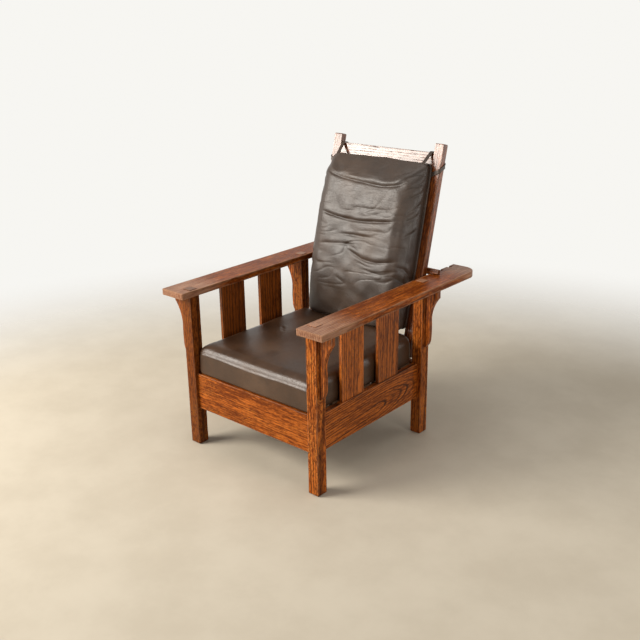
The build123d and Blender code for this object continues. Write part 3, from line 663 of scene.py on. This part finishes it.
def wrinkles(along, across, seed, lengths, sharp):
    # a net of thin valleys: -1 on the zero lines of a seeded sum of sines, falling off beside them, in
    # patches where a slower sum is high
    look, draw = netLook, np.random.default_rng(seed)

    def field(alongShare, acrossShare):
        places = np.stack([along / (lengths[0] * alongShare), across / (lengths[1] * acrossShare)], 1)
        return sineSum(draw, places, look) / look["over"]

    across = across + look["bend"] * lengths[1] * field(*look["bendLengths"])
    valleys = -np.exp(-np.abs(field(1, 1)) / sharp)
    return valleys * smoothStep(field(*look["patchLengths"]), *look["patchStep"])


seatSoft = {
    "low": (-0.2732, -0.3945, 0.28735), "high": (0.2732, 0.1775, 0.4033), "corner": 0.012, "count": 360,
    # pin: the held height of the base; cap: the most that a point swells; margin: the soft limit's
    "pin": 0.012, "cap": 0.0022, "margin": 0.0032,
    # stations from the middle of the underside round to the middle of the top: height share, then
    # how far each side is drawn in, in metres
    "height": (0.0, 0.0, 0.0, 0.0, 0.03, 0.2, 0.42, 0.6, 0.7, 0.78, 0.84, 0.885, 0.915, 0.935, 0.95,
               0.963, 0.978, 0.99, 1.0),
    "side": (0.2, 0.06, 0.008, 0.002, 0.0, 0.0, 0.0, 0.0001, 0.001, 0.003, 0.006, 0.0098, 0.0145, 0.0195,
             0.026, 0.035, 0.052, 0.084, 0.17),
    "front": (0.2, 0.06, 0.008, 0.002, 0.0, 0.0, 0.0, 0.0002, 0.0014, 0.004, 0.0078, 0.0125, 0.0178, 0.0235,
              0.03, 0.039, 0.056, 0.088, 0.17),
    "rear": (0.2, 0.06, 0.008, 0.002, 0.0, 0.0, 0.0, 0.0, 0.0003, 0.0012, 0.003, 0.0055, 0.008, 0.01,
             0.012, 0.014, 0.017, 0.024, 0.07),
    # folds of the top: lines of (x, y), depth and width; how far under the top they begin and are full
    "folds": [
        ([(-0.165, -0.066), (-0.12, -0.088)], 0.0016, 0.005),
        ([(-0.15, -0.088), (-0.105, -0.104)], 0.0012, 0.004),
        ([(0.05, 0.02), (0.12, 0.005)], 0.001, 0.005),
        ([(-0.05, -0.02), (0.02, -0.03)], 0.0008, 0.005)],
    "foldsFrom": (0.02, 0.006),
    # seed, length and height of the slow waves, and how far over the base they begin and are full
    "waves": (11, 0.16, 0.0012), "wavesFrom": (0.004, 0.03),
}


def seatCover(soft):
    # rings of one outline, drawn in by each station's shares and raised to its height, then stuffed,
    # kept in the CAD cushion's box and lifted by the folds and waves
    low, high = np.array(soft["low"]), np.array(soft["high"])
    middle, half = (low + high) / 2, (high - low) / 2
    x, y = superOutline(half[0], half[1], soft["corner"], soft["corner"], soft["count"])
    height, side, front, rear = (np.array(soft[key])[:, None] for key in ("height", "side", "front", "rear"))
    rings = np.stack([middle[0] + x * (half[0] - side) / half[0],
                      middle[1] + y * (half[1] - np.where(y < 0, front, rear)) / half[1],
                      low[2] + height * (high[2] - low[2]) + 0 * x], -1)
    piece = closedShell("seat_cushion_cover", rings)
    stuffed(piece, soft["cap"], lambda points: points[:, 2] < low[2] + soft["pin"], stuffing)
    points = kept(readRows(piece.data, "co"), low, high, soft["margin"])
    begin, full = soft["foldsFrom"]
    top = smoothStep(points[:, 2], high[2] - begin, high[2] - full)
    points[:, 2] += top * folds(points[:, 0], points[:, 1], soft["folds"])
    begin, full = soft["wavesFrom"]
    above = smoothStep(points[:, 2], low[2] + begin, low[2] + full)
    points += readRows(piece.data, "normal") * (above * waves(points, *soft["waves"]))[:, None]
    writePoints(piece.data, np.clip(points, low, high))
    return piece


backSoft = {
    "half": 0.224, "low": 0.1115, "high": 0.7195, "rear": 0.0309, "out": 0.1488, "count": 360,
    "cornerLow": 0.016, "cornerHigh": 0.01, "taper": -0.006, "seamBow": 0.01, "bowPower": 2.5,
    # widen and thin: the stuffed cover's width and depth are scaled by these before the soft limit
    "pin": 0.014, "cap": 0.0028, "margin": 0.0024, "widen": 1.015, "thin": 0.955,
    # stations from the middle of the rear round to the middle of the front: depth share, then how far
    # the sides and top are drawn in, and the same for the lower half of the outline
    "depth": (0.0, 0.0, 0.0, 0.03, 0.07, 0.13, 0.28, 0.5, 0.62, 0.72, 0.8, 0.865, 0.915, 0.945, 0.965,
              0.982, 0.993, 1.0),
    "draw": (0.17, 0.06, 0.008, 0.001, 0.0, 0.003, 0.0, 0.002, 0.0055, 0.01, 0.0158, 0.0225, 0.031, 0.04,
             0.05, 0.065, 0.092, 0.155),
    "foot": (0.17, 0.06, 0.008, 0.001, 0.0, 0.001, 0.0, 0.0, 0.0, 0.0, 0.0005, 0.0015, 0.004, 0.008, 0.014,
             0.026, 0.055, 0.14),
    # folds of the front: lines of (x, up the lean), depth and width; foldsFrom: the depths out at
    # which they begin and are full
    "folds": [
        ([(-0.205, 0.657), (-0.145, 0.636), (-0.056, 0.626), (0.032, 0.62), (0.091, 0.616), (0.17, 0.632),
          (0.208, 0.662)], 0.006, 0.0058),
        ([(-0.195, 0.5), (-0.151, 0.488), (-0.07, 0.479), (0.014, 0.477), (0.159, 0.493), (0.19, 0.505)],
         0.0062, 0.005),
        ([(-0.06, 0.526), (0.056, 0.529), (0.16, 0.537)], 0.0022, 0.0042),
        ([(-0.085, 0.418), (-0.053, 0.421), (0.013, 0.423), (0.11, 0.427)], 0.0044, 0.0045),
        ([(0.0, 0.441), (0.117, 0.452), (0.16, 0.455)], 0.0022, 0.0042),
        ([(-0.185, 0.366), (-0.142, 0.373), (-0.052, 0.384), (0.035, 0.392)], 0.003, 0.005),
        ([(-0.055, 0.383), (-0.003, 0.379), (0.04, 0.366)], 0.0026, 0.0042),
        ([(-0.04, 0.376), (0.0, 0.357), (0.058, 0.338), (0.116, 0.336), (0.18, 0.348), (0.215, 0.362)],
         0.0058, 0.0062),
        ([(0.01, 0.332), (0.071, 0.318), (0.13, 0.316)], 0.0022, 0.0045),
        ([(0.04, 0.305), (0.146, 0.296), (0.215, 0.322)], 0.003, 0.0055),
        ([(0.11, 0.268), (0.17, 0.272), (0.215, 0.3)], 0.003, 0.005),
        ([(-0.07, 0.258), (-0.012, 0.236)], 0.0018, 0.005), ([(-0.19, 0.3), (-0.12, 0.29)], 0.0014, 0.005),
        ([(-0.195, 0.455), (-0.13, 0.446)], 0.0014, 0.0045), ([(0.12, 0.655), (0.205, 0.692)], 0.0022, 0.005),
        ([(0.15, 0.64), (0.21, 0.668)], 0.0018, 0.0045)],
    "foldsFrom": (0.085, 0.125),
    # the net of wrinkles on the front: depth, then seed, lengths along and across and sharpness
    "netDepth": 0.0017, "net": (21, (0.14, 0.034), 0.45),
    # folds of the two sides: lines of (out of the back, up the lean), where they begin and are full,
    # across and out, and how much deeper they are made
    "sideFolds": [
        ([(0.058, 0.69), (0.105, 0.668), (0.142, 0.64)], 0.0034, 0.005),
        ([(0.056, 0.66), (0.105, 0.632), (0.142, 0.6)], 0.0034, 0.005),
        ([(0.056, 0.626), (0.1, 0.6), (0.138, 0.568)], 0.003, 0.005),
        ([(0.06, 0.584), (0.1, 0.545), (0.134, 0.52)], 0.0028, 0.005),
        ([(0.064, 0.54), (0.13, 0.495)], 0.0024, 0.005), ([(0.064, 0.48), (0.13, 0.44)], 0.0024, 0.005),
        ([(0.056, 0.3), (0.1, 0.33), (0.142, 0.338)], 0.0034, 0.005),
        ([(0.05, 0.245), (0.1, 0.285), (0.142, 0.3)], 0.0036, 0.005)],
    "sideFrom": ((0.15, 0.2), (0.045, 0.075)), "sideMore": 1.35,
    # how far the front falls back from its middle, towards the foot and in the top roll: the drops,
    # the power of the first, where the others begin and are full, and at what depth out all of them do
    "bellyDrop": 0.019, "bellyPower": 2.2, "footDrop": 0.016, "footFrom": (0.11, 0.27),
    "topDrop": 0.029, "topFrom": (0.63, 0.72), "dropFrom": (0.04, 0.14),
    # the top's swelling: how high, where up the lean it begins and is full, and the power of its fall
    # to the sides; free: the depths out between which the cover comes clear of the seam
    "topPuff": 0.008, "puffFrom": (0.64, 0.715), "puffPower": 4, "free": (0.045, 0.07),
    # groove: depth, distance past the welt and width; waves: seed, length and height
    "groove": (0.0016, 0.007, 0.0035), "waves": [(5, 0.11, 0.0016), (8, 0.045, 0.0008)],
    # the height to which the foot sinks, over what length, and the height under which nothing goes
    "seatLevel": 0.4012, "sinkOver": 0.1, "floor": 0.4037,
}

weltLook = {"radius": 0.0042, "out": 0.0356, "proud": 0.0008, "steps": 320, "sides": 12}


def backOutline(soft, count):
    # the outline in the back's plane: wider at the foot by the taper, its sides bowed by the stuffing
    middle, halfLong = (soft["high"] + soft["low"]) / 2, (soft["high"] - soft["low"]) / 2
    x, y = superOutline(soft["half"], halfLong, soft["cornerLow"], soft["cornerHigh"], count)
    bow = 1 - soft["seamBow"] * np.abs(y / halfLong) ** soft["bowPower"]
    return x * (1 + soft["taper"] * y / halfLong) * bow, y, middle, halfLong


def sunk(up, out, soft):
    # the foot sinks until its underside lies level on the seat cushion
    level = (soft["seatLevel"] - hingePoint[2] - out * sin(lean)) / cos(lean)
    return up - (soft["low"] - level) * (1 - smoothStep(up, soft["low"], soft["low"] + soft["sinkOver"]))


def backCover(soft):
    # the same kind of rings in the back's own plane, stuffed, scaled and kept in the CAD cushion's
    # box, then carved by the folds, dropped at its edges, puffed at the top and sunk to the seat
    x, y, middle, halfLong = backOutline(soft, soft["count"])
    depth, draw, foot = (np.array(soft[key])[:, None] for key in ("depth", "draw", "foot"))
    rings = fromBack(x * (soft["half"] - draw) / soft["half"],
                     middle + y * (halfLong - np.where(y < 0, foot, draw)) / halfLong,
                     soft["rear"] + depth * (soft["out"] - soft["rear"]) + 0 * x)
    piece = closedShell("back_cushion_cover", rings)
    held = np.array([soft["low"], soft["rear"]]) + soft["pin"]
    stuffed(piece, soft["cap"], lambda points: (toBack(points)[:, 1:] < held).any(1), stuffing)
    local = toBack(readRows(piece.data, "co"))
    local[:, 0] *= soft["widen"]
    local[:, 2] = soft["rear"] + (local[:, 2] - soft["rear"]) * soft["thin"]
    low, high = (-soft["half"], soft["low"], soft["rear"]), (soft["half"], soft["high"], soft["out"])
    x, up, out = kept(local, low, high, soft["margin"]).T

    carved = folds(x, up, soft["folds"]) + soft["netDepth"] * wrinkles(x, up, *soft["net"])
    fall = (soft["bellyDrop"] * np.abs((up - middle) / halfLong) ** soft["bellyPower"]
            + soft["footDrop"] * (1 - smoothStep(up, *soft["footFrom"]))
            + soft["topDrop"] * smoothStep(up, *soft["topFrom"]))
    out = out + (smoothStep(out, *soft["foldsFrom"]) * carved - fall * smoothStep(out, *soft["dropFrom"]))
    across, outward = soft["sideFrom"]
    flank = smoothStep(np.abs(x), *across) * smoothStep(out, *outward)
    x = x + np.sign(x) * flank * (soft["sideMore"] * folds(out, up, soft["sideFolds"]))
    up = np.maximum(up, soft["low"])
    crown = smoothStep(out, *soft["free"]) * np.clip(1 - (x / soft["half"]) ** soft["puffPower"], 0, 1)
    up = sunk(up + soft["topPuff"] * smoothStep(up, *soft["puffFrom"]) * crown, out, soft)
    out = np.maximum(out, soft["rear"])

    points = fromBack(x, up, out)
    writePoints(piece.data, points)
    normals = readRows(piece.data, "normal")
    deep, past, width = soft["groove"]
    points -= normals * (deep * np.exp(-((out - weltLook["out"] - past) / width) ** 2))[:, None]
    free = smoothStep(out, *soft["free"])
    points += normals * (free * sum(waves(points, *one) for one in soft["waves"]))[:, None]
    points[:, 2] = np.maximum(points[:, 2], soft["floor"])
    writePoints(piece.data, points)
    return piece


seatPiece = seatCover(seatSoft)
seatPiece.data.materials.append(seatLeather)
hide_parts("seat_cushion")
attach(seatPiece, "chair_frame")
print("seat cushion done:", len(seatPiece.data.vertices), "points")

backPiece = backCover(backSoft)
backPiece.data.materials.append(backLeather)
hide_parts("back_cushion")
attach(backPiece, "leaning_back")
footSquash = {"joint": "back_hinge", "axis": tuple(upTheLean), "anchor": tuple(fromBack(0.0, 0.72, 0.09)),
              "keep": 0.965}
print("back cushion done:", len(backPiece.data.vertices), "points")


# swept pieces: welt and straps

def swept(name, centres, first, second, profile, closed):
    # a closed profile of (a, b) pairs carried along the centres: each point is centre + a*first + b*second
    a, b = np.array(profile, float).T
    rings = centres[:, None] + a[None, :, None] * first[:, None] + b[None, :, None] * second[:, None]
    rows, count = rings.shape[:2]
    here, there = np.arange(count), (np.arange(count) + 1) % count
    rowHere = np.arange(rows if closed else rows - 1)[:, None] * count
    rowThere = (rowHere + count) % (rows * count)
    faces = np.stack([rowHere + here, rowHere + there, rowThere + there, rowThere + here], -1)
    faces = faces.reshape(-1, 4).tolist()
    if not closed:
        faces += [here[::-1].tolist(), ((rows - 1) * count + here).tolist()]
    return newPiece(name, rings.reshape(-1, 3), faces)


def unit(rows):
    # each row divided by its length
    return rows / np.linalg.norm(rows, axis=1, keepdims=True)


def weltRing(look, soft):
    # a round cord along the cover's outline at the seam's depth
    x, y, middle, _ = backOutline(soft, look["steps"])
    centres = fromBack(x, sunk(y + middle, look["out"], soft), look["out"])
    tangent = unit(np.roll(centres, -1, 0) - np.roll(centres, 1, 0))
    outward = np.cross(tangent, outOfBack)
    centres = centres + outward * look["proud"]
    return swept("back_cushion_welt", centres, outward, np.broadcast_to(outOfBack, centres.shape),
                 look["radius"] * circle(look["sides"]), True)


weltPiece = weltRing(weltLook, backSoft)
weltPiece.data.materials.append(strapLeather)
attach(weltPiece, "leaning_back")

strapLook = {
    "half": 0.0075, "thickness": 0.0022, "steps": 190, "smoothing": 7, "sides": 16, "powers": (0.25, 0.6),
    # path in the back's plane: x, up, out, then the direction of the strap's width
    "path": [(0.2, 0.712, 0.068, 1, 0, 0), (0.201, 0.722, 0.061, 1, 0, 0), (0.2065, 0.76, 0.0345, 1, 0, 0),
             (0.208, 0.769, 0.028, 1, 0, 0), (0.208, 0.7703, 0.017, 1, 0, 0),
             (0.2085, 0.769, 0.005, 1, 0, 0), (0.2105, 0.762, 0.001, 1, 0.15, 0),
             (0.23, 0.746, 0.0008, 0.7, 0.7, 0), (0.254, 0.727, 0.0008, 0.1, 1, 0),
             (0.2592, 0.7225, 0.004, 0, 1, 0.1), (0.2596, 0.713, 0.017, 0, 1, 0.5),
             (0.2592, 0.704, 0.03, 0, 1, 0.4), (0.254, 0.7, 0.0328, -0.1, 1, 0),
             (0.235, 0.69, 0.0328, -0.35, 1, 0), (0.216, 0.68, 0.033, -0.35, 1, 0),
             (0.209, 0.677, 0.0335, -0.35, 1, 0)],
}


def strapPiece(name, side, look):
    # a flat band with round edges: its path is read at even steps, smoothed over a few of them, and
    # its width turns with it; the profile is a superellipse whose cosine and sine have these powers
    rows = np.array(look["path"], float)
    run = np.concatenate([[0], np.cumsum(np.linalg.norm(np.diff(rows[:, :3], axis=0), axis=1))])
    at = np.linspace(0, run[-1], look["steps"])
    track = np.stack([np.interp(at, run, column) for column in rows.T], 1)
    span, ends = look["smoothing"], look["smoothing"] // 2
    kernel = np.hanning(span + 2)[1:-1] / np.hanning(span + 2)[1:-1].sum()
    longer = np.concatenate([np.repeat(track[:1], ends, 0), track, np.repeat(track[-1:], ends, 0)])
    track = np.stack([np.convolve(column, kernel, "valid") for column in longer.T], 1)
    centres = fromBack(side * track[:, 0], track[:, 1], track[:, 2])
    width = fromBack(side * track[:, 3], track[:, 4], track[:, 5]) - hingePoint
    tangent = unit(np.gradient(centres, axis=0))
    width = unit(width - tangent * (width * tangent).sum(1, keepdims=True))
    thick = np.cross(tangent, width) * side
    ring = circle(look["sides"])
    profile = (look["half"], look["thickness"] / 2) * np.sign(ring) * np.abs(ring) ** look["powers"]
    piece = swept(name, centres, width * side, thick, profile[::-1] if side < 0 else profile, False)
    piece.data.materials.append(strapLeather)
    return piece


for side, sign in (("left", 1), ("right", -1)):
    strap = strapPiece(f"{side}_strap_band", sign, strapLook)
    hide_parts(f"{side}_strap")
    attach(strap, "leaning_back")
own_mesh(backPiece)
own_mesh(weltPiece)
print("welt and straps done")


# stage, light and camera

floorLook = {"middle": (0.75, -0.85, 0.0), "fade": (1.9, 3.6), "radius": 9, "sides": 96,
             "dim": (0.53, 0.47, 0.375), "pale": (0.59, 0.53, 0.43), "roughness": 0.8,
             "blotches": ((3.2, 3.2, 3.2), 5.0, 0.62), "blotchStep": (0.3, 0.7)}


def stageFloor(look):
    # a round pale floor that fades into the pale surround with the distance to its middle
    points = np.column_stack([look["radius"] * circle(look["sides"]), np.zeros(look["sides"])])
    floor = newPiece("stage_floor", points, [list(range(look["sides"]))])
    material, wire = newMaterial("pale floor")
    point = wire.add("ShaderNodeTexCoord", out=3)
    away = point.vector("SUBTRACT", look["middle"])
    far = wire.add("ShaderNodeVectorMath", {"operation": "LENGTH"}, {0: away}, out=1)
    blotches = point.noise(*look["blotches"]).rise(*look["blotchStep"])
    ground = wire.add("ShaderNodeBsdfPrincipled", None,
                      {"Base Color": mixColours(wire, look["dim"], look["pale"], blotches),
                       "Roughness": look["roughness"]})
    clear = wire.add("ShaderNodeBsdfTransparent")
    mixed = wire.add("ShaderNodeMixShader", None, {0: far.rise(*look["fade"]), 1: ground, 2: clear})
    wire.add("ShaderNodeOutputMaterial", None, {"Surface": mixed})
    floor.data.materials.append(material)


surroundLook = {"fill": (0.27, 0.262, 0.25), "seen": (0.93, 0.92, 0.885), "overhead": (0.28, 0.275, 0.26),
                "heights": (0.42, 0.75)}


def surround(look):
    # what is seen behind the chair is pale up to a height and dimmer overhead, and everything else
    # takes a lower even fill
    world = bpy.data.worlds.new("pale surround")
    world.use_nodes = True
    scene.world = world
    world.node_tree.nodes.clear()
    wire = Wire(world.node_tree)
    path = wire.add("ShaderNodeLightPath")
    seen = path.most(path.other(3)).most(path.other(6))
    way = wire.add("ShaderNodeTexCoord")
    height = wire.add("ShaderNodeSeparateXYZ", None, {"Vector": way}, out=2)
    behind = mixColours(wire, look["seen"], look["overhead"], height.rise(*look["heights"]))
    colour = wire.add("ShaderNodeMix", {"data_type": "RGBA"},
                      {0: seen, 6: (*look["fill"], 1.0), 7: behind}, out=2)
    light = wire.add("ShaderNodeBackground", None, {"Color": colour})
    wire.add("ShaderNodeOutputWorld", None, {"Surface": light})


# name, place, target, size, radiance, colour and roll in degrees
lamps = [
    ("key panel", (-2.45, -3.05, 2.75), (0.0, 0.1, 0.8), (2.3, 1.5), 18.0, (1.0, 0.95, 0.87), 20.0),
    ("low panel", (-2.75, -3.3, 1.36), (0.0, 0.1, 0.7), (2.9, 1.5), 6.6, (1.0, 0.95, 0.87)),
    ("ceiling panel", (0.2, 0.2, 3.6), (0.0, 0.0, 0.0), (2.4, 2.4), 1.9, (1.0, 0.97, 0.93)),
    ("side panel", (3.3, -0.5, 0.85), (0.0, 0.0, 0.45), (0.9, 1.0), 6.5, (1.0, 0.96, 0.9)),
    ("wall panel", (2.2, 2.6, 0.75), (0.0, 0.1, 0.6), (1.7, 1.2), 2.1, (1.0, 0.97, 0.93)),
]


def softLamp(name, place, target, size, radiance, colour, roll=0.0):
    # an even panel: its power is pi times its area times its radiance
    data = bpy.data.lights.new(name, "AREA")
    data.shape, data.size, data.size_y = "RECTANGLE", *size
    data.energy = pi * size[0] * size[1] * radiance
    data.color = colour
    lamp = newObject(name, data)
    lamp.location = place
    lamp.rotation_mode = "QUATERNION"
    aim = (Vector(target) - Vector(place)).to_track_quat("-Z", "Y")
    lamp.rotation_quaternion = aim @ Quaternion((0, 0, 1), radians(roll))


stageFloor(floorLook)
surround(surroundLook)
for lamp in lamps:
    softLamp(*lamp)

# angles in degrees, focal length in pixels of a picture this wide, sensor in millimetres
cameraLook = {"place": (2.0058, -2.3184, 1.5666), "turn": 41.2, "pitch": -20.1, "roll": -0.9, "focal": 873.0,
              "pixels": 640, "sensor": 36.0, "clip": (0.05, 60.0)}


def aimCamera(look):
    # columns of the turn are the picture's right, its up and the way back, from turn, pitch and roll
    turn, pitch, roll = (radians(look[key]) for key in ("turn", "pitch", "roll"))
    forward = Vector((-sin(turn) * cos(pitch), cos(turn) * cos(pitch), sin(pitch)))
    level = Vector((cos(turn), sin(turn), 0.0))
    above = level.cross(forward)
    right = level * cos(roll) + above * sin(roll)
    up = above * cos(roll) - level * sin(roll)
    data = bpy.data.cameras.new("camera")
    data.sensor_width, data.lens = look["sensor"], look["focal"] / look["pixels"] * look["sensor"]
    data.clip_start, data.clip_end = look["clip"]
    camera = newObject("camera", data)
    turned = Matrix((right, up, -forward)).transposed().to_4x4()
    camera.matrix_world = Matrix.Translation(look["place"]) @ turned
    scene.camera = camera


aimCamera(cameraLook)
scene.view_settings.view_transform = "Standard"
print("stage, light and camera set")
